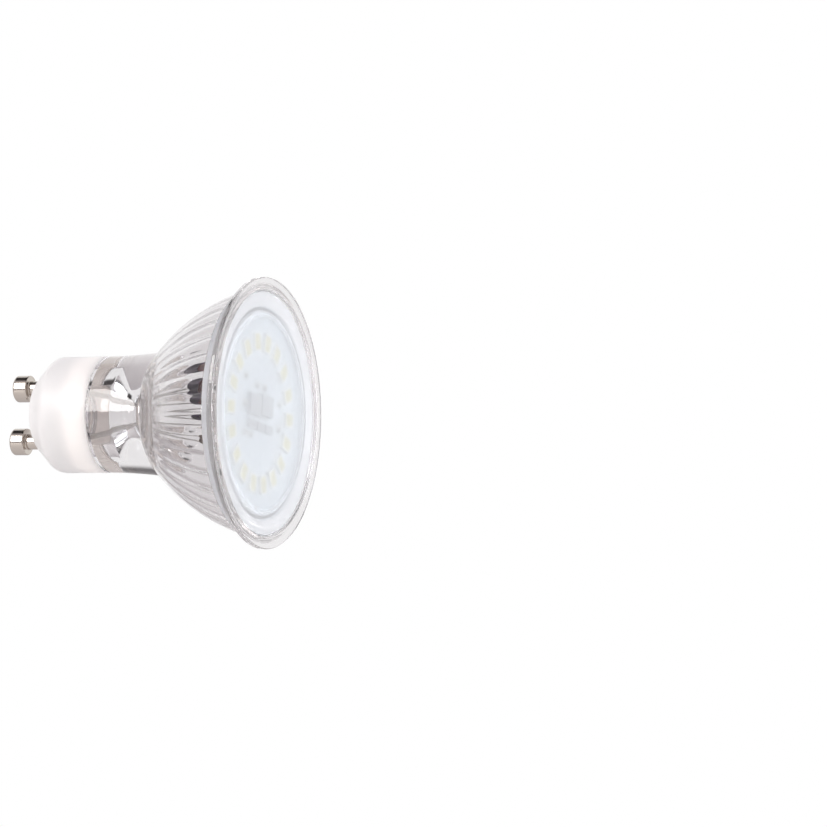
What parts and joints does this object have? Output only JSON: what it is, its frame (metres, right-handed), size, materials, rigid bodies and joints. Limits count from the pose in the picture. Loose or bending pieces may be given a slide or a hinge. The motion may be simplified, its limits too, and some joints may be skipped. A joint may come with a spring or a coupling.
{
  "type": "gu10 spotlight bulb",
  "caption": "All-glass LED spotlight bulb with a fluted clear bell, frosted front disc and a white twist-lock two-pin base.",
  "frame": {"origin": "centre of the base cap's flat end face, where it seats in the lampholder", "axes": "+X along the lamp's axis towards the light face, +Z through the upper contact pin"},
  "size_m": [0.0515, 0.05, 0.05],
  "materials": {
    "clear_glass": "clear pressed glass, smooth",
    "white_cap": "moulded, faint sheen",
    "nickel_plate": "bright nickel plate",
    "cement": "set cement",
    "white_insulation": "extruded",
    "board_white": "white solder mask on aluminium",
    "package_white": "moulded",
    "phosphor": "silicone with phosphor",
    "black_moulding": "moulded, fine grain",
    "resistor_ceramic": "coated",
    "can_aluminium": "drawn",
    "black_sleeve": "shrunk sleeve",
    "dark_red_dip": "dipped coat",
    "brown_coat": "coated",
    "tinned_wire": "tinned",
    "frosted_plastic": "frosted",
    "clear_silicone": "set bead"
  },
  "bodies": {
    "root": {"glass_body": "clear_glass", "base_cap": "white_cap", "contact_pin_upper": "nickel_plate", "contact_pin_lower": "nickel_plate", "neck_cement": "cement", "lead_wire_upper": "white_insulation", "lead_wire_lower": "white_insulation", "led_board": "board_white", "led_package_01": "package_white", "led_package_02": "package_white", "led_package_03": "package_white", "led_package_04": "package_white", "led_package_05": "package_white", "led_package_06": "package_white", "led_package_07": "package_white", "led_package_08": "package_white", "led_package_09": "package_white", "led_package_10": "package_white", "led_package_11": "package_white", "led_package_12": "package_white", "led_package_13": "package_white", "led_package_14": "package_white", "led_package_15": "package_white", "led_package_16": "package_white", "led_package_17": "package_white", "led_package_18": "package_white", "led_phosphor": "phosphor", "rectifier_bridge": "black_moulding", "driver_chip": "black_moulding", "chip_resistors": "resistor_ceramic", "capacitor_can": "can_aluminium", "capacitor_sleeve": "black_sleeve", "film_capacitor": "dark_red_dip", "fusible_resistor": "brown_coat", "component_leads": "tinned_wire", "solder_joints": "tinned_wire", "diffuser": "frosted_plastic", "diffuser_seal": "clear_silicone"}
  },
  "joints": []
}
